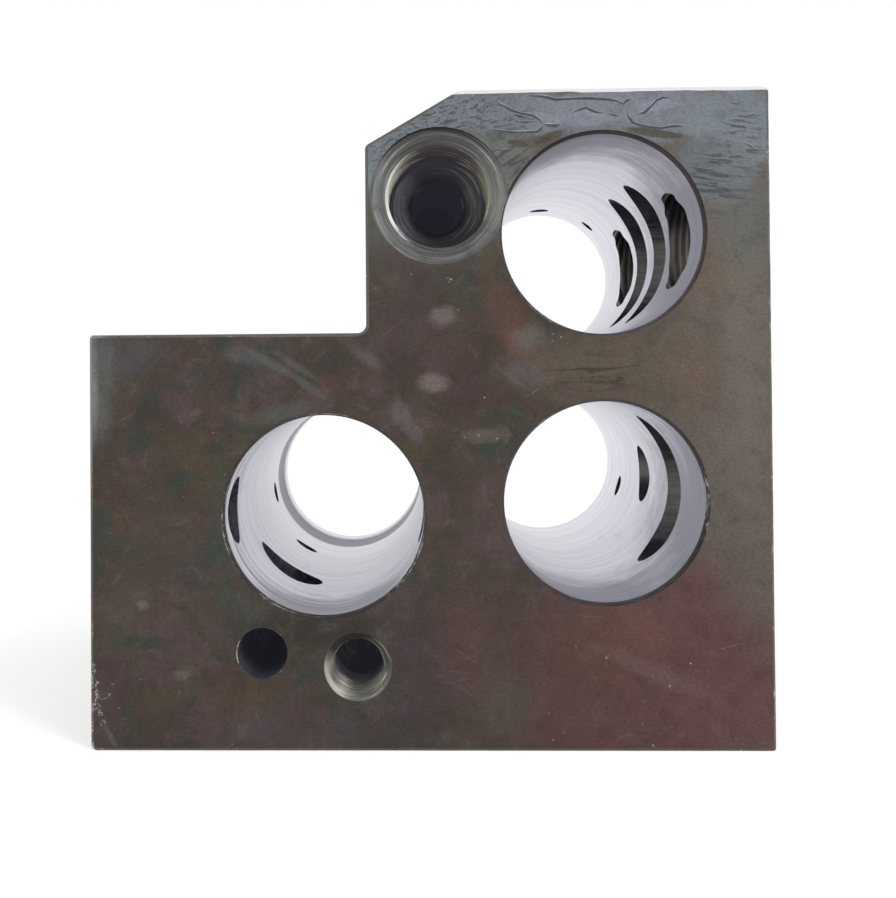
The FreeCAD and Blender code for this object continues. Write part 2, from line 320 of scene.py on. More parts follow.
# Soft patches of the front face: (from left, height), radii, colour, amount and turn
TINTS = [
    ((112, 12), (30, 19), (90, 64, 62), 0.95),
    ((104, 22), (10, 8), (98, 68, 63), 0.6),
    ((123, 27), (10, 12), (93, 65, 64), 0.9, 25),
    ((95, 19), (8, 9), (82, 62, 56), 0.6),
    ((92.5, 20), (1.6, 10), (88, 60, 60), 0.6),
    ((126, 9), (12, 8), (98, 68, 68), 0.6),
    ((131, 34), (6, 9), (94, 86, 78), 0.7),
    ((111, 24), (5, 2.6), (104, 74, 66), 0.7, -30),
    ((113, 15), (12, 1.5), (104, 84, 82), 0.55, -25),
    ((66, 14), (9, 16), (66, 59, 60), 0.7),
    ((74, 20), (5, 9), (86, 64, 62), 0.6),
    ((83, 8), (6, 6), (80, 78, 70), 0.5),
    ((51, 7), (3.5, 7), (60, 64, 58), 0.7),
    ((40, 4), (14, 4), (80, 68, 72), 0.5),
    ((3, 10), (4, 12), (80, 64, 68), 0.5),
    ((29, 11), (10, 4), (82, 66, 54), 0.5),
    ((7, 29), (4, 6), (80, 76, 64), 0.6, -30),
    ((15, 43), (9, 12), (76, 66, 60), 0.5),
    ((44, 24), (15, 3), (52, 50, 44), 0.9),
    ((27, 44), (2.6, 13), (62, 70, 62), 0.7),
    ((30, 29), (5, 3.5), (62, 70, 62), 0.6, -40),
    ((38, 67), (7, 1.8), (82, 86, 78), 0.6, 14),
    ((1.5, 74), (3, 12), (92, 97, 92), 0.75),
    ((0.6, 74), (1.1, 11), (124, 128, 127), 0.8),
    ((7, 79), (7, 4), (82, 82, 87), 0.55),
    ((31, 79), (4, 1.5), (90, 90, 90), 0.5, -20),
    ((37, 77), (5, 0.8), (92, 97, 91), 0.55, -30),
    ((42, 76.4), (4.5, 0.7), (91, 95, 89), 0.55, -32),
    ((44, 72.6), (4, 0.8), (88, 94, 86), 0.6, -35),
    ((56, 78), (3.5, 1.2), (92, 90, 88), 0.6, -35),
    ((62, 77), (3.5, 5), (62, 53, 49), 0.7),
    ((63, 90), (7, 9), (68, 60, 57), 0.6),
    ((74, 91), (3, 3.5), (68, 68, 60), 0.6),
    ((77, 74), (6, 9), (66, 54, 51), 0.7),
    ((83, 87), (3.5, 7), (93, 70, 62), 0.6, 25),
    ((88, 79), (3, 6), (102, 76, 66), 0.6, 30),
    ((104, 76), (17, 7), (94, 84, 74), 0.8),
    ((121, 74), (5, 8), (104, 88, 76), 0.6),
    ((124, 99), (5, 11), (106, 88, 76), 0.6),
    ((131, 84), (4.5, 24), (107, 101, 93), 0.8),
    ((130, 106), (6, 9), (98, 99, 98), 0.7),
]
# Small ragged spots, as above
SPOTS = [
    ((71, 86.4), (2.3, 2), (110, 101, 99), 0.8),
    ((69, 73), (2.8, 1.7), (112, 101, 98), 0.85),
    ((62.4, 67), (1.6, 3), (96, 89, 90), 0.8, 20),
    ((65, 63.6), (1.4, 2.6), (92, 87, 88), 0.7, 35),
    ((88, 82), (3, 2.4), (99, 95, 89), 0.7, 12),
    ((87.4, 74.4), (3.4, 3), (90, 84, 84), 0.7),
    ((79, 62.4), (4, 1.4), (98, 90, 80), 0.7),
    ((10.5, 29), (1.2, 0.9), (114, 102, 94), 0.85),
    ((18.2, 15), (1.6, 1), (100, 94, 82), 0.8),
    ((4, 2.8), (0.5, 2.6), (100, 93, 82), 0.6, 28),
]

# Patches of the oil film over the phosphate, as above
FILM = [
    ((66, 124), (15, 5.5), (119, 126, 133), 0.9, 30),
    ((86, 126.7), (14, 4.6), (121, 126, 135), 0.9),
    ((104, 127.2), (12, 4.6), (124, 129, 138), 0.9),
    ((117, 126.7), (11, 5.4), (125, 129, 139), 0.9),
    ((129, 123.5), (10, 9.0), (120, 127, 135), 0.9),
    ((126, 114.5), (7, 6.5), (108, 113, 116), 0.8, -30),
    ((83, 117.5), (6.5, 6.5), (107, 110, 109), 0.85, -40),
    ((101, 123.6), (9, 1.8), (112, 115, 120), 0.8),
    ((121.5, 116.5), (4, 6), (106, 110, 114), 0.8, -40),
    ((57, 117.2), (2.5, 6), (119, 126, 134), 0.9),
    ((100, 125.5), (5, 1.6), (135, 141, 153), 0.7),
    ((113.4, 127.8), (4, 1.5), (134, 139, 152), 0.7, 10),
    ((92, 125.6), (2.6, 0.8), (137, 141, 154), 0.7, -20),
    ((86.4, 120.6), (2.5, 0.7), (74, 70, 58), 0.8, -12),
    ((92.4, 121.8), (3.2, 0.8), (74, 70, 58), 0.8, 22),
    ((114, 122.3), (6, 0.8), (76, 72, 62), 0.9, -8),
]

# Line patterns: turn, stretch, size, levels, colour, and the patches that hold them
RIPPLES = [
    (14, (0.5, 1, 1.6), 1500, 0.52, 0.59, (74, 78, 84),
     [((73.4, 126), (12, 4.6), 8), ((62.9, 121.6), (8, 2.6), 30), ((83, 124.4), (6, 2.6))]),
    (-6, (0.2, 1, 1.6), 620, 0.51, 0.58, (72, 76, 80),
     [((125.5, 113.5), (6.5, 7), -40), ((130.6, 121), (4, 5))]),
    (30, (0.26, 1, 1.8), 700, 0.51, 0.58, (76, 77, 74), [((84, 117), (5, 6), -40)]),
    (2, (0.24, 1, 2), 460, 0.52, 0.6, (62, 54, 48), [((101, 74.6), (8, 3.4))]),
]
# Faint rub marks: turn, shift and size
RUBS = [(38, (2, 0, 7), 300), (-32, (7, 0, 2), 260), (-4, (4, 0, 9), 340)]
# Bare and dark specks: Voronoi scale, spot radius, share of cells, seed, colour and amount
SPECKS = [
    (95, 0.026, 0.22, 0.11, (150, 144, 138), 0.75),
    (240, 0.05, 0.16, 0.37, (126, 119, 112), 0.55),
    (300, 0.06, 0.14, 0.83, (46, 42, 42), 0.45),
]
# Clouds of the phosphate: shift, size, levels, amount and colour
CLOUDS = [
    ((3, 1, 2), 62, 0.48, 0.62, 0.8, (73, 67, 52)),
    ((1, 8, 4), 70, 0.49, 0.62, 0.8, (83, 69, 69)),
    ((9, 2, 6), 100, 0.53, 0.68, 0.4, (86, 63, 54)),
    ((7, 5, 1), 80, 0.51, 0.63, 0.85, (54, 62, 55)),
]
SKIN_SHEEN = 0.14


def phosphate_tone(g):
    """The oiled phosphate skin of any face: brown with olive, mauve, rust and green clouds."""
    tone = g.over((65, 57, 51), (74, 62, 57), g.noise(g.place, 38, 5, 0.62, 0.6), 0.36, 0.64)
    for shift, size, low, high, amount, tint in CLOUDS:
        cloud = g.noise(g.stretch(g.place, (1, 1, 1.1), shift), size, 6, 0.64, 0.7)
        tone = g.over(tone, tint, cloud, low, high, 0, amount)
    return tone


def phosphate():
    """The skin of the block's flat faces."""
    g, place = begin("phosphated_steel")
    x, y, z = g.split(place)
    front = g.step(y, y_at(0.2), y_at(1.2), 1, 0)
    tone = phosphate_tone(g)

    # Painted light: the skin is paler towards the right face and above the shelf
    slow = g.noise(place, 45, 5, 0.6, 0.4)
    right = g.step(g.line(slow, 0.03, x), x_at(114), x_at(148), 0, 0.8)
    tone = g.mix(g.times(right, front), tone, (106, 98, 91))
    high = g.step(g.line(slow, 0.03, z), 104 * MM, 128 * MM, 0, 0.6)
    tone = g.mix(g.times(high, front), tone, (100, 98, 92))
    edge = g.wander(place, 170, 6)
    tone = g.tinted(tone, TINTS, 0.55, edge)
    tone = g.tinted(tone, SPOTS, 0.5, g.wander(place, 520))
    film_edge = g.wander(g.stretch(place, (1, 1, 1.6), (4, 4, 4)), 120)
    tone = g.tinted(tone, FILM, 0.3, film_edge)
    wet = g.times(g.step(g.line(slow, 0.012, z), 124 * MM, 130 * MM), front)

    # Dried dashes by the shoulder, ripples by the upper bore, wavy lines between the bores
    relief = 0.0
    for turn, scale, size, low, high, tint, spots in RIPPLES:
        marks = g.noise(g.across(turn, scale, (5, 0, 3)), size, 3, 0.55, 0.8)
        zone = g.union(spots, 0.5, edge)
        tone = g.mix(g.times(g.step(marks, low, high, 0, 0.85), zone), tone, tint)
        relief = g.line(marks, zone, relief)

    # Grain, faint rubs and bare specks
    cloudy = g.noise(place, 230, 7, 0.68, 0.6)
    tone = g.over(tone, (44, 38, 34), cloudy, 0.3, 0.54, 0.28, 0.0)
    tone = g.over(tone, (118, 108, 102), cloudy, 0.54, 0.74, 0.0, 0.26)
    grit = g.noise(g.stretch(place, (0.7, 1, 1.1), (2, 6, 1)), 2000, 3, 0.7)
    tone = g.add("HueSaturation", {"Color": tone, "Value": g.step(grit, 0.25, 0.75, 0.81, 1.17)})
    tone = tone.outputs[0]
    broad = g.noise(place, 60, 4, 0.6)
    for turn, shift, size in RUBS:
        marks = g.noise(g.across(turn, (0.3, 1, 1.6), shift), size, 5, 0.65, 0.8)
        rub = g.times(g.step(marks, 0.58, 0.78, 0, 0.3), g.step(broad, 0.4, 0.62))
        tone = g.mix(rub, tone, (116, 110, 104))
    tone = g.specked(tone, SPECKS)

    grain = g.bump(g.noise(place, 2600, 4, 0.6), 0.12, 0.00004)
    waves = g.bump(g.noise(g.stretch(place, (1, 1, 2)), 160, 4, 0.5), 0.15, 0.0001, Normal=grain)
    return g.surface(Base_Color=tone, Roughness=g.step(wet, 0, 1, 0.5, 0.34),
                     Normal=g.bump(relief, 0.5, 0.0004, Normal=waves), Specular_IOR_Level=SKIN_SHEEN)


def worn_and_highlit_edge():
    """Broken edges, mostly dark, with chips of bare steel where they are worn.
    More bare steel on top and to the right, near white on top, is a painted highlight.
    """
    g, place = begin("worn_and_highlit_edge")
    x, y, z = g.split(place)
    width, _, height = BLOCK_MM
    tone = g.mix(0.4, phosphate_tone(g), (116, 112, 106))
    chips = g.noise(place, 420, 6, 0.7)
    top = g.times(g.step(z, (height - 1.1) * MM, (height - 0.8) * MM),
                  g.step(y, y_at(2), y_at(4), 1, 0))
    right = g.step(x, x_at(width - 0.6), x_at(width - 0.4), 0, 0.1)
    ragged = g.wander(place, 420)
    left = g.patch((0, 0, 74), (3, 8, 20), 0.6, ragged, 0.8)
    tone = g.mix(left, tone, (132, 134, 132))
    heel = g.patch((0, 0, 6), (3, 8, 22), 0.6, ragged, 0.18)
    bias = g.math("MAXIMUM", g.math("MAXIMUM", top, right), heel)
    bare = g.step(g.line(bias, 0.5, chips), 0.6, 0.68)
    steel = g.over((124, 121, 117), (172, 169, 165), g.noise(place, 1500, 3), 0.4, 0.6)
    # Painted highlight: the bare steel of the top edge turns near white
    tone = g.mix(bare, tone, g.mix(top, steel, (222, 222, 223)))
    return g.surface(Base_Color=tone, Roughness=0.45, Metallic=g.times(bare, 0.3),
                     Normal=g.bump(g.noise(place, 1400, 5, 0.65), 0.3, 0.0001),
                     Specular_IOR_Level=0.25)


# Only the left bore, which ends this side of here, has the relief ring
RELIEF_REACH_MM = 75.0
# Shading of the bore walls: centre, radii, colour and amount
BORE_SHADES = [
    ((123, 8, 99), (10, 44, 24), (130, 130, 142), 0.95),
    ((113, 4, 84), (12, 24, 8), (160, 159, 171), 0.8),
    ((123, 6, 45), (10, 44, 22), (136, 135, 147), 0.95),
    ((102, 2, 30), (24, 26, 8), (126, 126, 141), 0.95),
    ((99, 2, 121), (20, 24, 7), (112, 110, 123), 0.95),
    ((86, 2, 112), (9, 16, 12), (134, 131, 143), 0.8),
    ((50, 2, 28), (24, 16, 5), (146, 145, 160), 0.9),
]
# Small pits of the bore walls, as in SPECKS
BORE_PITS = [(85, 0.024, 0.3, 0.71, (88, 84, 94), 0.8), (260, 0.05, 0.1, 0.29, (88, 84, 94), 0.8)]


def honed_bore():
    """Bright honed wall of a through bore, with fine lines round it."""
    g, place = begin("honed_bore")
    x, y, _ = g.split(place)
    lines = g.noise(g.stretch(place, (0.08, 5.0, 0.08)), 210, 7, 0.7, 0.12)
    bands = g.noise(g.stretch(place, (0.16, 2.2, 0.16), (3, 0, 1)), 150, 5, 0.66, 0.3)
    slow = g.noise(place, 70, 4, 0.6, 0.5)
    tone = g.over((238, 237, 248), (250, 249, 255), bands, 0.36, 0.64)
    tone = g.tinted(tone, BORE_SHADES, 0.6, g.wander(place, 70, 4))
    # Painted shade: the lines and bands darken towards the bore's front mouth
    near = g.step(g.line(slow, 0.03, y), y_at(22), y_at(46), 1, 0.06)
    tone = g.mix(g.times(near, g.step(lines, 0.49, 0.62, 0, 0.8)), tone, (112, 110, 124))
    tone = g.mix(g.times(near, g.step(bands, 0.4, 0.52, 0.75, 0)), tone, (140, 138, 153))
    smears = g.noise(g.stretch(place, (1, 0.4, 1), (2, 2, 2)), 90, 5, 0.65, 0.8)
    tone = g.over(tone, (158, 156, 168), smears, 0.6, 0.74, 0, 0.25)
    tone = g.specked(tone, BORE_PITS)

    # The relief ring of the left bore is coloured darker than its wall: painted shade
    start, full, end = (y_at(depth) for depth in RELIEF_MM)
    ring = g.times(g.step(y, start, full, 0, 0.95),
                   g.math("LESS_THAN", y, end - RELIEF_RUN_OUT_MM * MM),
                   g.math("LESS_THAN", x, x_at(RELIEF_REACH_MM)))
    return g.surface(Base_Color=g.mix(ring, tone, (84, 83, 99)), Roughness=0.38,
                     Normal=g.bump(lines, 0.05, 0.00005), Metallic=0.72)


# Where the lips of the bores are worn bare, and where the dowel hole's chamfer gets a painted
# highlight on its left: (from left, height) and radii
LIP_WEAR_AND_HIGHLIGHT = [
    ((27.4, 42.2), (4, 14)), ((124.4, 49.2), (3, 9)), ((47.1, 67), (6, 1.8)),
    ((63, 36), (6, 8)), ((29.6, 19.4), (1.4, 3.6)), ((93.4, 64.7), (5, 5)),
    ((89.9, 85.7), (4, 4)), ((36.4, 28.2), (6, 4)),
]


def lead_in():
    """Dark lead-in of a bore, with flecks of bare steel where its lip is worn.
    On the left of the dowel hole's chamfer the bare steel is a painted highlight.
    """
    g, place = begin("lead_in")
    y = g.split(place)[1]
    chips = g.noise(place, 900, 6, 0.72)
    slow = g.noise(place, 90, 4, 0.6)
    # The worn lips, and the dowel chamfer's painted highlight
    worn = g.union(LIP_WEAR_AND_HIGHLIGHT, 0.5, g.wander(place, 90, 4))
    scored = g.noise(g.stretch(place, (0.5, 14, 0.5)), 180, 4, 0.7)
    level = g.line(worn, 0.09, g.line(scored, 0.5, g.times(chips, 0.5)))
    bare = g.times(g.step(level, 0.6, 0.66), g.step(y, y_at(2), y_at(2.4), 1, 0))
    tone = g.over((50, 44, 42), (67, 59, 55), slow, 0.35, 0.65)
    return g.surface(Base_Color=g.mix(bare, tone, (178, 174, 162)), Roughness=0.45,
                     Normal=g.bump(chips, 0.2, 0.00006), Specular_IOR_Level=0.25)


# The colour of the painted glow that lightens a deep hole
PAINTED_GLOW = (33, 34, 42)


def turned(name, centre, tints, marks, spacing, metallic=0.4, turn=0.0, bands=(), glow=0.0,
           by_depth=False):
    """A cut surface round a hole in the front face.

    tints are its colours to the left, right, bottom and top of the hole, turned to the right by
    turn degrees: painted light and shade. marks are the dark and the light of its tool marks,
    spacing mm apart; the light marks show most at the hole's sides as a painted highlight. Each
    of the bands gives two radii in mm, the shares at them and a colour; the drill cone's dark
    bands are painted shade. glow is the strength of a painted glow that lightens the hole.
    """
    g, place = begin(name)
    radius, side, up = g.hole(centre)
    tone = g.compass(side, up, tints, turn)
    for low, high, to_low, to_high, tint in bands:
        tone = g.over(tone, tint, radius, low * MM, high * MM, to_low, to_high)
    arcs = g.arcs(g.split(place)[1] if by_depth else radius, side, up, spacing)
    dark, light = marks
    tone = g.over(tone, dark, arcs, 0.36, 0.5, 0.55, 0)
    # Painted highlight: the light tool marks show most at the hole's sides
    sideways = g.step(g.math("ABSOLUTE", side), 0.2, 0.9, 0.25, 1)
    tone = g.mix(g.times(g.step(arcs, 0.54, 0.68, 0, 0.6), sideways), tone, light)
    tone = g.over(tone, dark, g.noise(place, 220, 5, 0.65, 0.5), 0.5, 0.72, 0, 0.45)
    return g.surface(Base_Color=tone, Roughness=0.38, Normal=g.bump(arcs, 0.15, 0.00005),
                     Metallic=metallic, Emission_Color=colour(*PAINTED_GLOW), Emission_Strength=glow)


def machined(name, dark, light, metallic, streak=(1, 1, 1), scale=400, shades=()):
    """A cut surface whose tool marks run along the axes with the small streak numbers."""
    g, place = begin(name)
    marks = g.noise(g.stretch(place, streak), scale, 6, 0.65, 0.2)
    tone = g.over(dark, light, marks, 0.35, 0.65)
    tone = g.over(tone, dark, g.noise(place, 75, 4, 0.6), 0.4, 0.7, 0, 0.5)
    # Painted light and shade: soft tints laid over the tool marks
    if shades:
        tone = g.tinted(tone, shades, 0.6, g.wander(place, 120, 4))
    return g.surface(Base_Color=tone, Roughness=0.42, Normal=g.bump(marks, 0.25, 0.0001),
                     Metallic=metallic)


# Painted shade at both ends of the windows and painted light below the middle
WINDOW_SHADES = [
    ((125, 56, height + rise), (80, 60, reach), tint, amount)
    for height in (102.6, 49.1)
    for rise, reach, tint, amount in ((15, 11, (56, 47, 57), 0.9), (-15, 6, (48, 44, 54), 0.8),
                                      (-3, 7, (156, 153, 150), 0.6))
]

# The light on the far side of the right passage
PASSAGE_GLINT = ((129, 75, 50.5), (16, 6, 3), (206, 204, 196), 0.9)

MATERIALS = [
    phosphate(),
    worn_and_highlit_edge(),
    honed_bore(),
    lead_in(),
    # Each turned surface's four tints are painted light and shade, and glow is a painted glow
    turned("port_seat", PORT_MM, ((116, 117, 118), (116, 116, 112), (90, 87, 87), (42, 38, 40)),
           ((56, 54, 54), (184, 186, 182)), 0.34,
           bands=[(12.9, 13.2, 0.3, 0, (134, 134, 132))]),
    turned("port_thread", PORT_MM, ((206, 206, 196), (128, 128, 106), (42, 40, 38), (56, 42, 43)),
           ((56, 53, 48), (224, 222, 208)), 0.3, 0.5, 4, glow=0.15, by_depth=True),
    # The drill cone's dark bands are painted shade at its rim and by the channel
    turned("drill_cone", PORT_MM, ((134, 138, 146), (92, 90, 86), (86, 84, 86), (56, 48, 60)),
           ((42, 41, 46), (164, 166, 166)), 0.45, 0.4, 0,
           [(5.4, 7.6, 1, 0, (26, 27, 36)), (9.0, 9.7, 0, 1, (44, 42, 40))], 0.3),
    turned("port_channel", PORT_MM, ((52, 52, 64), (50, 50, 62), (50, 52, 61), (42, 40, 50)),
           ((40, 40, 48), (80, 82, 92)), 0.9, 0.2, glow=0.8, by_depth=True),
    machined("drilled", (78, 70, 80), (122, 114, 126), 0.6, scale=700, shades=[PASSAGE_GLINT]),
    machined("milled_window", (50, 45, 51), (150, 146, 142), 0.4, (0.2, 0.5, 1.4), 900,
             shades=WINDOW_SHADES),
    turned("screw_seat", SCREW_MM, ((178, 176, 167), (94, 92, 84), (110, 108, 100), (54, 50, 48)),
           ((66, 64, 58), (212, 210, 200)), 0.3, 0.5, -25),
    turned("screw_thread", SCREW_MM, ((122, 119, 108), (78, 75, 69), (88, 85, 78), (50, 47, 46)),
           ((50, 47, 44), (180, 177, 162)), 0.35, 0.5, -20, glow=0.5, by_depth=True),
    turned("dowel_wall", DOWEL_MM, ((112, 111, 122), (70, 69, 75), (80, 79, 90), (48, 46, 50)),
           ((38, 37, 43), (128, 128, 138)), 0.6, 0.5, -20, glow=0.42, by_depth=True),
    machined("bare_steel", (104, 98, 92), (188, 184, 175), 0.3, scale=1500),
    # Painted light in the middle of the side ports and painted shade at their top and bottom
    machined("side_thread", (58, 51, 56), (118, 110, 108), 0.5, (1.5, 0.3, 0.3), 300,
             shades=[((125, 22, 101), (60, 80, 6), (150, 144, 138), 0.7),
                     ((125, 22, 117), (60, 80, 8), (34, 29, 34), 0.95),
                     ((125, 22, 89), (60, 80, 5), (30, 28, 38), 0.95)]),
    machined("film_line", (46, 49, 54), (62, 65, 71), 0.0),
    machined("film_rim_highlight", (112, 118, 128), (150, 156, 166), 0.0),
]
(SKIN, EDGE, BORE, LEAD_IN, SEAT, PORT_THREAD, CONE, CHANNEL, DRILLED, WINDOW, SCREW_SEAT,
 SCREW_THREAD, DOWEL, BARE, SIDE_THREAD, FILM_LINE, FILM_RIM_HIGHLIGHT) = range(len(MATERIALS))


# Meshes

def show(name, data):
    """A new object of the data, linked to the scene."""
    made = bpy.data.objects.new(name, data)
    bpy.context.scene.collection.objects.link(made)
    return made


def finished(work, name="cutter"):
    """An object of the edited mesh with every material."""
    mesh = bpy.data.meshes.new(name)
    work.to_mesh(mesh)
    work.free()
    for material in MATERIALS:
        mesh.materials.append(material)
    return show(name, mesh)


def solid(points, faces, slots):
    """A closed cutter from points, faces and the slot of each face or of all of them."""
    if isinstance(slots, int):
        slots = [slots] * len(faces)
    work = bmesh.new()
    corners = [work.verts.new(point) for point in points]
    for face, slot in zip(faces, slots):
        work.faces.new([corners[index] for index in face]).material_index = slot
    bmesh.ops.recalc_face_normals(work, faces=work.faces)
    return finished(work)


def tube(rows, count):
    """The faces of a closed tube of rows rings, each of count points: sides, then both ends."""
    faces = [(row * count + index, row * count + (index + 1) % count,
              (row + 1) * count + (index + 1) % count, (row + 1) * count + index)
             for row in range(rows - 1) for index in range(count)]
    return faces + [tuple(range(count)), tuple(reversed(range((rows - 1) * count, rows * count)))]


def aimed(mouth, direction):
    """A function that gives the frame's point for a hole's angle, radius and depth in mm."""
    turn = Vector((0, 0, 1)).rotation_difference(direction).to_matrix()

    def point(angle, radius, depth):
        local = Vector((cos(angle) * radius, sin(angle) * radius, depth)) * MM
        return mouth + turn @ local

    return point


def lathe(mouth, direction, steps, segments=128):
    """A turned cutter. Each step is (depth, radius, slot of the wall that leads to it)."""
    point = aimed(mouth, direction)
    points = [point(tau * (index + 0.5) / segments, radius, depth)
              for depth, radius, _ in steps for index in range(segments)]
    slots = [slot for _, _, slot in steps[1:] for _ in range(segments)]
    slots += [steps[0][2], steps[-1][2]]
    return solid(points, tube(len(steps), segments), slots)


def core_radius(size):
    return (size[0] - CORE_PER_PITCH * size[1]) / 2


def thread(mouth, direction, size, run, slot, segments=96, worn=0.0):
    """A screw-shaped cutter whose ridges cut a metric thread's grooves along the run."""
    diameter, pitch = size
    start, end = run
    point = aimed(mouth, direction)
    groove = diameter / 2 - worn
    slope = tan(radians(30))
    root = core_radius(size) - ROOT_PER_PITCH * pitch
    half_flat = pitch / 16
    half_root = half_flat + (diameter / 2 - root) * slope
    half_groove = half_flat + worn * slope
    profile = [(-half_root, root), (-half_groove, groove), (half_groove, groove),
               (half_root, root)]
    turns = int((end - start) / pitch)
    rows = turns * 4 + 1
    points, faces = [], []
    for index in range(segments):
        for row in range(rows):
            along, radius = profile[row % 4]
            depth = start + pitch * (row // 4 + index / segments + 0.5) + along
            points.append(point(tau * index / segments, radius, depth))

    def corner(index, row):
        """Past the last segment, the helix goes on one turn higher in the first."""
        return index * rows + row if index < segments else row + 4

    for index in range(segments):
        for row in range(rows - 1 if index < segments - 1 else rows - 5):
            faces.append((corner(index, row), corner(index + 1, row),
                          corner(index + 1, row + 1), corner(index, row + 1)))
    first = [corner(0, row) for row in range(4, -1, -1)]
    first += [corner(index, 0) for index in range(1, segments)]
    last = [corner(index, rows - 1) for index in range(segments - 1)]
    last += [corner(segments - 1, row) for row in range(rows - 1, rows - 6, -1)]
    for loop, depth in ((first, start + pitch), (last, start + pitch * turns)):
        points.append(point(0, 0, depth))
        faces += [(loop[i - 1], loop[i], len(points) - 1) for i in range(len(loop))]
    return solid(points, faces, slot)


# How a window's cutter is divided, and how rough its wall is
WINDOW_ARC_STEPS = 32
WINDOW_SIDE_STEPS = 8
WINDOW_SPACING_MM = 1.5
WINDOW_GRAIN_MM = 0.1


def window_cutter(depth, height):
    """The round-ended cutter of a window, from outside the right face to the bore's axis."""
    radius = WINDOW_MM[0] / 2
    half = WINDOW_MM[1] / 2 - radius
    ring = []
    for side in (1, -1):
        for index in range(WINDOW_ARC_STEPS + 1):
            angle = pi * index / WINDOW_ARC_STEPS
            ring.append((side * cos(angle) * radius,
                         side * (half + sin(angle) * radius)))
        for index in range(1, WINDOW_SIDE_STEPS):
            ring.append((-side * radius, side * half * (1 - 2 * index / WINDOW_SIDE_STEPS)))
    stations = [BLOCK_MM[0] + OVERCUT_MM]
    while stations[-1] > UPPER_BORE_MM[0] + 1:
        stations.append(stations[-1] - WINDOW_SPACING_MM)
    points = []
    for from_left in stations:
        for across, up in ring:
            point = Vector((0, across, up)) * MM + at(from_left, depth, height)
            grain = noise.noise(Vector((from_left * 0.35, across * 0.9, up * 0.9 + depth)))
            outwards = Vector((0, across, up - max(-half, min(half, up)))).normalized()
            points.append(point + outwards * grain * WINDOW_GRAIN_MM * MM)
    return solid(points, tube(len(stations), len(ring)), WINDOW)


def arc(centre, radius, first, last, steps=8):
    """Points along an arc between two angles in degrees."""
    angles = [radians(first + (last - first) * index / steps) for index in range(steps + 1)]
    return [(centre[0] + radius * cos(angle), centre[1] + radius * sin(angle))
            for angle in angles]


def outline_corners():
    """The L-shaped outline as (from left, height) in mm, anticlockwise from the heel."""
    width, _, height = BLOCK_MM
    drop = SHOULDER_WIDTH_MM * tan(radians(SHOULDER_ANGLE))
    radius = SHELF_CORNER_RADIUS_MM
    return [*arc((HEEL_RADIUS_MM, HEEL_RADIUS_MM), HEEL_RADIUS_MM, 180, 270),
            (width, 0), (width, height), (SHELF_MM + SHOULDER_WIDTH_MM, height),
            (SHELF_MM, height - drop),
            *arc((SHELF_MM - radius, SHELF_HEIGHT_MM + radius), radius, 0, -90),
            (0, SHELF_HEIGHT_MM)]


# Edges longer than this get points along them, and edges sharper than this are broken
LONG_EDGE_MM = 8
EDGE_SPACING_MM = 2.5
SHARP_ANGLE = 25
# Slanting faces smaller than this are broken edges
SMALL_FACE_MM2 = 40


def block():
    """The blank with broken, slightly uneven edges."""
    work = bmesh.new()
    corners = outline_corners()
    front = [work.verts.new(behind(corner)) for corner in corners]
    back = [work.verts.new(behind(corner, BLOCK_MM[1])) for corner in corners]
    work.faces.new(front)
    work.faces.new(list(reversed(back)))
    for side in zip(front, back, back[1:] + back[:1], front[1:] + front[:1]):
        work.faces.new(side)
    bmesh.ops.recalc_face_normals(work, faces=work.faces)
    for edge in [e for e in work.edges if e.calc_length() > LONG_EDGE_MM * MM]:
        cuts = int(edge.calc_length() / (EDGE_SPACING_MM * MM))
        bmesh.ops.subdivide_edges(work, edges=[edge], cuts=cuts)
    sharp = [e for e in work.edges if e.calc_face_angle(0) > radians(SHARP_ANGLE)]
    bmesh.ops.bevel(work, geom=sharp, offset=EDGE_BREAK_MM * MM, segments=3, profile=0.5,
                    affect="EDGES")
    for face in work.faces:
        axis = max(abs(component) for component in face.normal)
        slanted = abs(abs(face.normal.z) - cos(radians(SHOULDER_ANGLE))) < 0.01
        small = face.calc_area() < SMALL_FACE_MM2 * MM * MM
        face.material_index = EDGE if small and axis < 0.995 and not slanted else SKIN
    roughen_edges(work)
    return finished(work, "dressed_block")


def roughen_edges(work):
    """Moves the corner points of the broken edges inward a little, each by its own amount."""
    inward = {}
    for face in [face for face in work.faces if face.material_index == EDGE]:
        for vertex in face.verts:
            inward.setdefault(vertex, Vector()).xyz -= face.normal
    for vertex, direction in inward.items():
        kinds = {face.material_index for face in vertex.link_faces}
        if SKIN in kinds or direction.length < 1e-6:
            continue
        amount = 0.05 + 0.1 * noise.noise(vertex.co * 260) + 0.05 * noise.noise(vertex.co * 900)
        vertex.co += direction.normalized() * max(amount, 0.0) * MM


def flecks(spots, slot=BARE, lumps=4):
    """Cutters for dents. Each spot is a centre and a radius in mm and takes one lump of each."""
    made = []
    for _ in range(lumps):
        work = bmesh.new()
        for centre, radius in spots:
            lump = bmesh.ops.create_icosphere(work, subdivisions=2, radius=1.0)
            spin = Euler([random.uniform(0, tau) for _ in range(3)]).to_matrix()
            size = radius * random.uniform(0.35, 0.6)
            stretch = Vector((random.uniform(0.5, 1.5), random.uniform(0.5, 1.5), 0.7)) * size
            away = Vector((random.uniform(-0.8, 0.8), 0, random.uniform(-0.8, 0.8))) * radius
            for vertex in lump["verts"]:
                swell = 1 + 0.5 * noise.noise(vertex.co * 2 + centre * 900)
                vertex.co = centre + (away + spin @ (vertex.co * stretch) * swell) * MM
        for face in work.faces:
            face.material_index = slot
        made.append(finished(work))
    return made


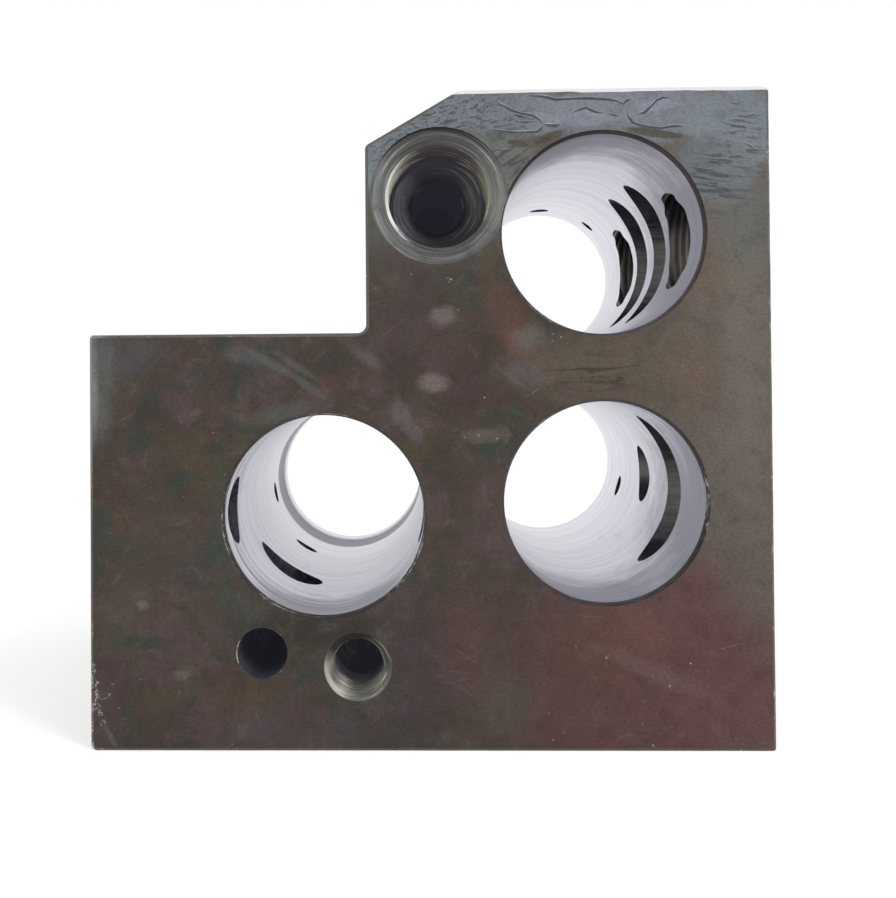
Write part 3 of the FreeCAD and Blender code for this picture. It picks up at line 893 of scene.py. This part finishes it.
def groove(path, width, slot, depth=0.05):
    """A thin groove in the front face along a path of (from left, height) in mm."""
    points = []
    for index, (x, z) in enumerate(path):
        before, after = path[max(index - 1, 0)], path[min(index + 1, len(path) - 1)]
        along = Vector((after[0] - before[0], after[1] - before[1]))
        taper = 0.3 if index in (0, len(path) - 1) else random.uniform(0.75, 1.25)
        side = Vector((-along.y, along.x)).normalized() * width / 2 * taper
        points += [at(x + side.x, -depth, z + side.y), at(x - side.x, -depth, z - side.y),
                   at(x, depth * taper, z)]
    return solid(points, tube(len(path), 3), slot)


def edge_band(start, end, along_a, along_b, widths, spacing=1.6):
    """Planes the edge from start to end down to a broken edge of uneven width.

    along_a and along_b point into the block along its two faces. widths gives, for a share of
    the way from 0 to 1, the two widths in mm.
    """
    reach, spare = 0.5, 0.5
    count = max(2, round((end - start).length / (spacing * MM)))
    points = []
    for index in range(count + 1):
        corner = start + (end - start) * (index / count)
        wobble = 1 + 0.22 * noise.noise(corner * 330) + 0.14 * noise.noise(corner * 1100)
        first, second = (width * wobble for width in widths(index / count))
        for a, b in ((first * (1 + reach), -second * reach),
                     (-first * reach, second * (1 + reach)),
                     (-first * reach - spare, -second * reach - spare)):
            points.append(corner + (along_a * a + along_b * b) * MM)
    return solid(points, tube(count + 1, 3), EDGE)


# Outlines of the dried oil film: width, then the path as (from left, height)
FILM_LINES = [
    (0.34, [(81.8, 129.4), (83, 128.4), (84.8, 127.4), (86.8, 126.6), (89.4, 126.2),
            (90.7, 125.2), (91.3, 124.3)]),
    (0.5, [(91.5, 124.3), (92.3, 124.2), (93.8, 124.1), (94.6, 124.4)]),
    (0.36, [(91.2, 124.1), (90.7, 123.4), (90, 122.9), (86, 122.8), (83.2, 123.1),
            (80.7, 123.4)]),
    (0.5, [(85.3, 126.3), (86.6, 126.1), (88.2, 125.8)]),
    (0.22, [(85.4, 124.9), (87.6, 124.8), (89.8, 125)]),
    (0.4, [(88.5, 130.1), (92.2, 129.8), (93.8, 129.3), (97, 129.4), (100.2, 129.5),
            (104, 129.2), (105.9, 128.9), (107.2, 128.2), (108, 129), (108.8, 129.1)]),
    (0.34, [(97, 126.5), (98.6, 127.2), (99.9, 127.6), (100.8, 127.1), (102.1, 126.6),
            (103.4, 126.5)]),
    (0.3, [(104.1, 126.3), (105.3, 126), (106.5, 125.8)]),
    (0.34, [(107.8, 127.2), (108.1, 125.8), (109, 124.6), (110.3, 124), (112.2, 123.6),
            (114.7, 123.3), (117, 123.7), (119.2, 123.6)]),
    (0.34, [(110, 126.1), (111.3, 126.4), (112.6, 127.6), (113.9, 128.9), (115.1, 129.4),
            (116.7, 129.3)]),
    (0.25, [(105.5, 124.4), (107.3, 124.7)]),
    (0.3, [(123.4, 129.9), (125.6, 129.7)]),
    (0.25, [(124, 127.8), (125.2, 128)]),
    (0.2, [(128.3, 128.3), (129.3, 127.9), (130.3, 128.1)]),
    (0.4, [(130.9, 120.1), (132.2, 119.5), (133.4, 118.6)]),
    (0.22, [(131.4, 125.5), (133, 125.8), (133.8, 125.2)]),
    (0.26, [(81.4, 119.5), (83.4, 119.2), (85.9, 119.4)]),
]
# Scratches and small dents down to bare steel, as above and as (from left, height, radius)
SCRATCHES = [
    (0.22, [(9.6, 82.2), (9.6, 81)]),
    (0.24, [(0.6, 16.2), (0.9, 15.6), (0.8, 15), (1, 14.4)]),
    (0.2, [(1, 13.8), (1.2, 12.6), (1.3, 11.2)]),
    (0.26, [(1.3, 10.6), (2.2, 10.3), (3, 10.5), (3.7, 10.9)]),
    (0.2, [(1.6, 9.4), (1.7, 8), (2, 6.8)]),
    (0.2, [(35.6, 1.4), (36.6, 2.6)]),
    (0.2, [(36.9, 1.6), (37.7, 2.9)]),
    (0.12, [(32.6, 9.4), (33.4, 7.2), (34.2, 4.7)]),
    (0.13, [(120.9, 18.9), (125, 20.1), (129.2, 21.2), (135, 22.7)]),
    (0.15, [(86.1, 70.1), (87.6, 70.4), (88.7, 70.8), (89.4, 71.5), (89.8, 72.5)]),
    (0.2, [(89.2, 78.6), (89.1, 77.6)]),
    (0.2, [(123.8, 123.3), (124.1, 122.4)]),
    (0.18, [(123.2, 122.4), (123.6, 121.7)]),
    (0.26, [(127.2, 113.1), (127.1, 112.3)]),
    (0.18, [(113.2, 126.9), (113.3, 126.2)]),
    (0.14, [(6, 49.5), (8.2, 48.1)]),
    (0.16, [(126.4, 26.4), (127.1, 25.4)]),
]
DENTS = [
    (72.6, 93.4, 0.42), (72, 93.9, 0.22), (74, 87.5, 0.25), (71.2, 72.1, 0.42),
    (70.4, 72.5, 0.26), (92.9, 82.8, 0.38), (94.5, 82.1, 0.28), (92.7, 81.3, 0.22),
    (25, 63.3, 0.24), (14.4, 65.2, 0.16), (18.9, 50.6, 0.16), (27.2, 55, 0.18),
    (79.2, 70, 0.24), (75, 62.2, 0.26), (77.8, 62.6, 0.3), (81.6, 62, 0.26),
    (103, 18.6, 0.34), (115.1, 16.7, 0.22), (111.9, 14.8, 0.2), (115, 12.9, 0.28),
    (122.7, 12.9, 0.22), (110.2, 10.1, 0.34), (91.2, 7.6, 0.28), (94.3, 3.8, 0.2),
    (92.2, 2.3, 0.25), (119.3, 17.3, 0.24), (134.1, 22.7, 0.2), (127.9, 2.5, 0.22),
    (111.8, 1.1, 0.28), (4.4, 13.4, 0.22), (5.8, 8.6, 0.24), (3.7, 11, 0.36),
    (10.5, 29, 0.2), (22.2, 34.6, 0.16), (10.1, 14.2, 0.2), (17.9, 11.7, 0.18),
    (28.5, 1.3, 0.24), (57.6, 92.1, 0.24), (109.6, 5.6, 0.18), (64.8, 94.8, 0.16),
    (96.8, 20.8, 0.15), (60.8, 91.2, 0.14),
]
# The chipped scar by the heel: its path, how far chips stray from it, their spacing and radii
SCAR = [(0.5, 17.6), (0.9, 15.2), (1.2, 11.6), (1.6, 8.4), (2.6, 5.2)]
SCAR_SPREAD_MM = 0.22
SCAR_SPACING_MM = 0.18
SCAR_CHIPS_MM = (0.3, 0.6)
# Chips of one cutter must not touch, so neighbours go to different cutters
SCAR_CUTTERS = 13


# The pale rim above a film outline, a painted highlight: its shift from it, and the outline's
# width over the rim's
RIM_SHIFT_MM = (-0.1, 0.3)
OUTLINE_PER_RIM = 2.6


def marks():
    """Cutters of the film's outlines, the scratches and the dents."""
    made = []
    for width, path in FILM_LINES:
        # Painted highlight: a pale groove just above each outline
        rim = [(x + RIM_SHIFT_MM[0], z + RIM_SHIFT_MM[1]) for x, z in path]
        made.append(groove(rim, width, FILM_RIM_HIGHLIGHT, 0.02))
        made.append(groove(path, width * OUTLINE_PER_RIM, FILM_LINE, 0.03))
    made += [groove(path, width, BARE) for width, path in SCRATCHES]
    made += flecks([(at(x, -0.1 * radius, z), radius) for x, z, radius in DENTS])
    chips = []
    for (x, z), (end_x, end_z) in zip(SCAR, SCAR[1:]):
        count = round(hypot(end_x - x, end_z - z) / SCAR_SPACING_MM)
        for share in (index / count for index in range(count)):
            stray = random.uniform(-1, 1) * SCAR_SPREAD_MM
            chips.append((at(x + (end_x - x) * share + stray, 0, z + (end_z - z) * share),
                          random.uniform(*SCAR_CHIPS_MM)))
    for first in range(SCAR_CUTTERS):
        made += flecks(chips[first::SCAR_CUTTERS], lumps=1)
    return made


def edge_bands():
    """Cutters that plane the edges seen in the photograph to their worn widths."""
    width, _, height = BLOCK_MM
    return [
        edge_band(at(SHELF_MM + SHOULDER_WIDTH_MM - 1, 0, height), at(width + 2, 0, height),
                  FRONT, TOP, lambda share: (0.95, 0.88), 2.6),
        edge_band(at(width, 0, -2), at(width, 0, height + 2), FRONT, RIGHT,
                  lambda share: (0.66, 0.46)),
        edge_band(at(24, 0, SHELF_HEIGHT_MM), at(SHELF_MM - 2, 0, SHELF_HEIGHT_MM), FRONT, TOP,
                  lambda share: (0.62, 0.3 + 0.35 * min(1.0, 3 * share))),
        edge_band(at(width, -2, height), at(width, 14, height), TOP, RIGHT,
                  lambda share: (0.55 - 0.3 * share, 2.2 - 1.7 * share)),
    ]


def edge_dents():
    """Seeded chips along the block's long edges."""
    width, depth, height = BLOCK_MM
    shelf = SHELF_HEIGHT_MM
    runs = [
        ((0, 0.1, 1), (0, 0.1, 34), 14), ((0, 0.1, 36), (0, 0.1, 80), 6),
        ((26, 0.1, shelf), (52, 0.1, shelf), 12), ((3, 0.1, shelf), (24, 0.1, shelf), 3),
        ((6, 0.1, 0), (130, 0.1, 0), 12), ((SHELF_MM, 0.1, 90), (SHELF_MM, 0.1, 116), 3),
        ((width, 0.1, 5), (width, 0.1, 125), 16), ((width, 8, height), (width, 120, height), 8),
        ((0, 8, shelf), (0, 120, shelf), 8), ((5, depth, 0), (130, depth, 0), 8),
        ((0, depth, 8), (0, depth, 78), 6), ((width, depth, 8), (width, depth, 125), 6),
        ((width, 8, 0), (width, 120, 0), 6),
    ]
    spots = []
    for start, end, count in runs:
        for index in range(count):
            share = (index + random.uniform(0.2, 0.8)) / count
            spots.append((at(*start).lerp(at(*end), share), random.uniform(0.25, 0.55)))
    return flecks(spots, EDGE, 2)


def point_length(radius, end=0.0):
    """Length of a drill's point between two radii."""
    return (radius - end) / tan(radians(DRILL_HALF_ANGLE))


def opening(rim, slot):
    """The first steps of a hole, from outside the block to its face."""
    return [(-OVERCUT_MM, rim, slot), (0, rim, slot)]


def blind(radius, depth, slot):
    """The last steps of a drilled hole, its wall and the drill's point."""
    return [(depth, radius, slot), (depth + point_length(radius, TIP_MM), TIP_MM, slot)]


def through_bore(place, relief=()):
    wide = BORE_RADIUS_MM + LEAD_IN_MM * tan(radians(LEAD_IN_ANGLE))
    depth = BLOCK_MM[1]
    return lathe(behind(place), FRONT, [
        *opening(wide, LEAD_IN), (LEAD_IN_MM, BORE_RADIUS_MM, LEAD_IN), *relief,
        (depth - LEAD_IN_MM, BORE_RADIUS_MM, BORE), (depth, wide, LEAD_IN),
        (depth + OVERCUT_MM, wide, LEAD_IN)], 192)


def bores():
    start, full, end = RELIEF_MM
    ring = BORE_RADIUS_MM + RELIEF_RADIAL_MM
    relief = [(start, BORE_RADIUS_MM, BORE), (full, ring, BORE),
              (end - RELIEF_RUN_OUT_MM, ring, BORE), (end, BORE_RADIUS_MM, BORE)]
    return [through_bore(UPPER_BORE_MM), through_bore(LOWER_BORE_MM),
            through_bore(LEFT_BORE_MM, relief)]


def front_port():
    core, channel, mouth = core_radius(PORT_THREAD_MM), PORT_CHANNEL_RADIUS_MM, behind(PORT_MM)
    seat, seat_depth = PORT_SPOTFACE_MM
    return [
        lathe(mouth, FRONT, [
            (-OVERCUT_MM, seat, SEAT), (seat_depth, seat, SEAT),
            (seat_depth, PORT_MOUTH_RADIUS_MM, SEAT),
            (seat_depth + PORT_MOUTH_RADIUS_MM - core, core, SEAT),
            (PORT_CORE_DEPTH_MM, core, PORT_THREAD),
            (PORT_CORE_DEPTH_MM + point_length(core, channel), channel, CONE),
            *blind(channel, PORT_CHANNEL_DEPTH_MM, CHANNEL)]),
        thread(mouth, FRONT, PORT_THREAD_MM, PORT_THREAD_RUN_MM, PORT_THREAD, worn=0.12),
    ]


def right_row():
    """The side ports and windows of the upper row, and the window below them."""
    made = []
    core, rim = core_radius(PORT_THREAD_MM), SIDE_PORT_MOUTH_RADIUS_MM
    for place in range(4):
        depth = UPPER_ROW_MM + place * UPPER_ROW_PITCH_MM
        if place in (1, 2):
            made.append(window_cutter(depth, UPPER_BORE_MM[1]))
            continue
        mouth = at(BLOCK_MM[0], depth, UPPER_BORE_MM[1] + SIDE_PORT_RISE_MM)
        made.append(lathe(mouth, RIGHT, [
            *opening(rim, SIDE_THREAD), (rim - core, core, SIDE_THREAD),
            (BLOCK_MM[0] - UPPER_BORE_MM[0], core, SIDE_THREAD)]))
        made.append(thread(mouth, RIGHT, PORT_THREAD_MM, SIDE_THREAD_RUN_MM, SIDE_THREAD))
    return made + [window_cutter(LOWER_WINDOW_DEPTH_MM, LOWER_BORE_MM[1])]


def drillings():
    """The passages and pilot drillings between the outer faces and the bores."""
    width, _, height = BLOCK_MM
    to_lower = width - LOWER_BORE_MM[0]
    made = []
    for mouth, direction, reach, (radius, chamfer) in (
            (at(width, *RIGHT_PASSAGE_MM), RIGHT, to_lower, PASSAGE_SIZE_MM),
            (at(0, *LEFT_PASSAGE_MM), LEFT, LOWER_BORE_MM[0], PASSAGE_SIZE_MM),
            (at(*BOTTOM_PASSAGE_MM, 0), BOTTOM, LEFT_BORE_MM[1], PASSAGE_SIZE_MM),
            (at(width, *RIGHT_PILOT_MM), RIGHT, to_lower, PILOT_SIZE_MM),
            (at(0, *LEFT_PILOT_MM), LEFT, LEFT_BORE_MM[0], PILOT_SIZE_MM),
            (at(*BOTTOM_PILOT_MM, 0), BOTTOM, LEFT_BORE_MM[1], PILOT_SIZE_MM),
            (at(*TOP_PILOT_MM, height), TOP, height - UPPER_BORE_MM[1], PILOT_SIZE_MM)):
        made.append(lathe(mouth, direction, [
            *opening(radius + chamfer, DRILLED), (chamfer, radius, BARE),
            (reach, radius, DRILLED)], 72))
    slope = radians(BLEED_ANGLE)
    upward = Vector((cos(slope), 0, sin(slope)))
    made.append(lathe(behind(UPPER_BORE_MM, BLEED_DEPTH_MM), upward, [
        (reach, BLEED_RADIUS_MM, DRILLED) for reach in BLEED_RUN_MM], 48))
    return made


def small_front_holes():
    dowel, core, rim = DOWEL_RADIUS_MM, core_radius(SCREW_THREAD_MM), SCREW_MOUTH_RADIUS_MM
    return [
        lathe(behind(DOWEL_MM), FRONT, [
            *opening(dowel + DOWEL_CHAMFER_MM, LEAD_IN), (DOWEL_CHAMFER_MM, dowel, LEAD_IN),
            *blind(dowel, DOWEL_DEPTH_MM, DOWEL)], 96),
        lathe(behind(SCREW_MM), FRONT, [
            *opening(rim, SCREW_SEAT), (rim - core, core, SCREW_SEAT),
            *blind(core, SCREW_CORE_DEPTH_MM, SCREW_THREAD)], 96),
        thread(behind(SCREW_MM), FRONT, SCREW_THREAD_MM, SCREW_THREAD_RUN_MM, SCREW_THREAD, 72,
               0.05),
    ]


def cutters():
    """Every cutter of the real holes, in the order they are made."""
    return bores() + front_port() + right_row() + drillings() + small_front_holes()


def carve(body, tools):
    """Cuts every tool out of the body and keeps one plain mesh."""
    for tool in tools:
        cut = body.modifiers.new("cut", "BOOLEAN")
        cut.operation = "DIFFERENCE"
        cut.solver = "MANIFOLD"
        cut.material_mode = "TRANSFER"
        cut.object = tool
    settle(body)
    for tool in tools:
        bpy.data.objects.remove(tool)


def settle(body):
    """Applies the modifiers of the body."""
    bpy.context.view_layer.update()
    graph = bpy.context.evaluated_depsgraph_get()
    mesh = bpy.data.meshes.new_from_object(body.evaluated_get(graph), depsgraph=graph)
    body.modifiers.clear()
    body.data = mesh


def smooth(body):
    """Flat faces shade flat, rounded edges shade round and the bore walls shade truly round."""
    mesh = body.data
    mesh.shade_smooth()
    mesh.set_sharp_from_angle(angle=radians(28))
    weighted = body.modifiers.new("weighted", "WEIGHTED_NORMAL")
    weighted.keep_sharp = True
    settle(body)
    mesh = body.data
    axes = [behind(bore) for bore in (UPPER_BORE_MM, LOWER_BORE_MM, LEFT_BORE_MM)]
    normals = [corner.vector.copy() for corner in mesh.corner_normals]
    for face in mesh.polygons:
        if face.material_index != BORE:
            continue
        axis = min(axes, key=lambda point: (face.center - point).xz.length)
        for loop in face.loop_indices:
            away = axis - mesh.vertices[mesh.loops[loop].vertex_index].co
            normals[loop] = Vector((away.x, 0, away.z)).normalized()
    mesh.normals_split_custom_set(normals)


def dress():
    """The whole dressed piece."""
    body = block()
    carve(body, edge_bands() + cutters() + marks() + edge_dents())
    smooth(body)
    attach(body, "root")
    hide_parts("valve_body")
    return body


body = dress()


# Stage, light and camera

def seen(g):
    """1 for the camera's rays, straight or by way of a mirror or glass, and 0 for light."""
    path = g.add("LightPath").outputs
    mirrored = g.math("MAXIMUM", path["Is Glossy Ray"], path["Is Transmission Ray"])
    return g.math("MAXIMUM", path["Is Camera Ray"], mirrored)


def stage():
    mesh = bpy.data.meshes.new("floor")
    reach = 3.0
    mesh.from_pydata([(-reach, -reach, 0), (reach, -reach, 0), (reach, reach, 0),
                      (-reach, reach, 0)], [], [(0, 1, 2, 3)])
    floor = show("floor", mesh)
    g = Graph(bpy.data.materials.new("pale_floor"))
    pale = g.add("BsdfDiffuse", {"Color": (0.85, 0.85, 0.85, 1)})
    glow = g.add("Emission", {"Color": (1, 1, 1, 1), "Strength": g.times(seen(g), 0.45)})
    both = g.add("AddShader", {0: pale.outputs[0], 1: glow.outputs[0]})
    g.add("OutputMaterial", {"Surface": both.outputs[0]})
    mesh.materials.append(g.owner)

    world = bpy.data.worlds.new("studio")
    bpy.context.scene.world = world
    g = Graph(world)
    strength = g.step(seen(g), 0, 1, 0.64, 1.0)
    background = g.add("Background", {"Color": (1, 1, 1, 1), "Strength": strength})
    g.add("OutputWorld", {"Surface": background.outputs[0]})


def lamp(name, place, aim, size, power):
    data = bpy.data.lights.new(name, "AREA")
    data.shape = "DISK"
    data.size = size
    data.energy = power
    made = show(name, data)
    made.location = place
    made.rotation_euler = (Vector(aim) - Vector(place)).to_track_quat("-Z", "Y").to_euler()


def camera():
    data = bpy.data.cameras.new("camera")
    data.lens = CAMERA_LENS
    data.sensor_width = 36
    data.shift_x, data.shift_y = CAMERA_SHIFT
    data.clip_start = 0.01
    made = show("camera", data)
    made.location = Vector(CAMERA_MM) * MM
    made.rotation_euler = Euler([radians(angle) for angle in CAMERA_TURN])
    bpy.context.scene.camera = made


stage()
lamp("key", (0.42, -0.55, 0.62), (0, 0, 0.06), 0.35, 2.8)
lamp("fill", (-0.6, -0.45, 0.3), (0, 0, 0.06), 0.5, 0.9)
camera()
bpy.context.scene.view_settings.view_transform = "Standard"
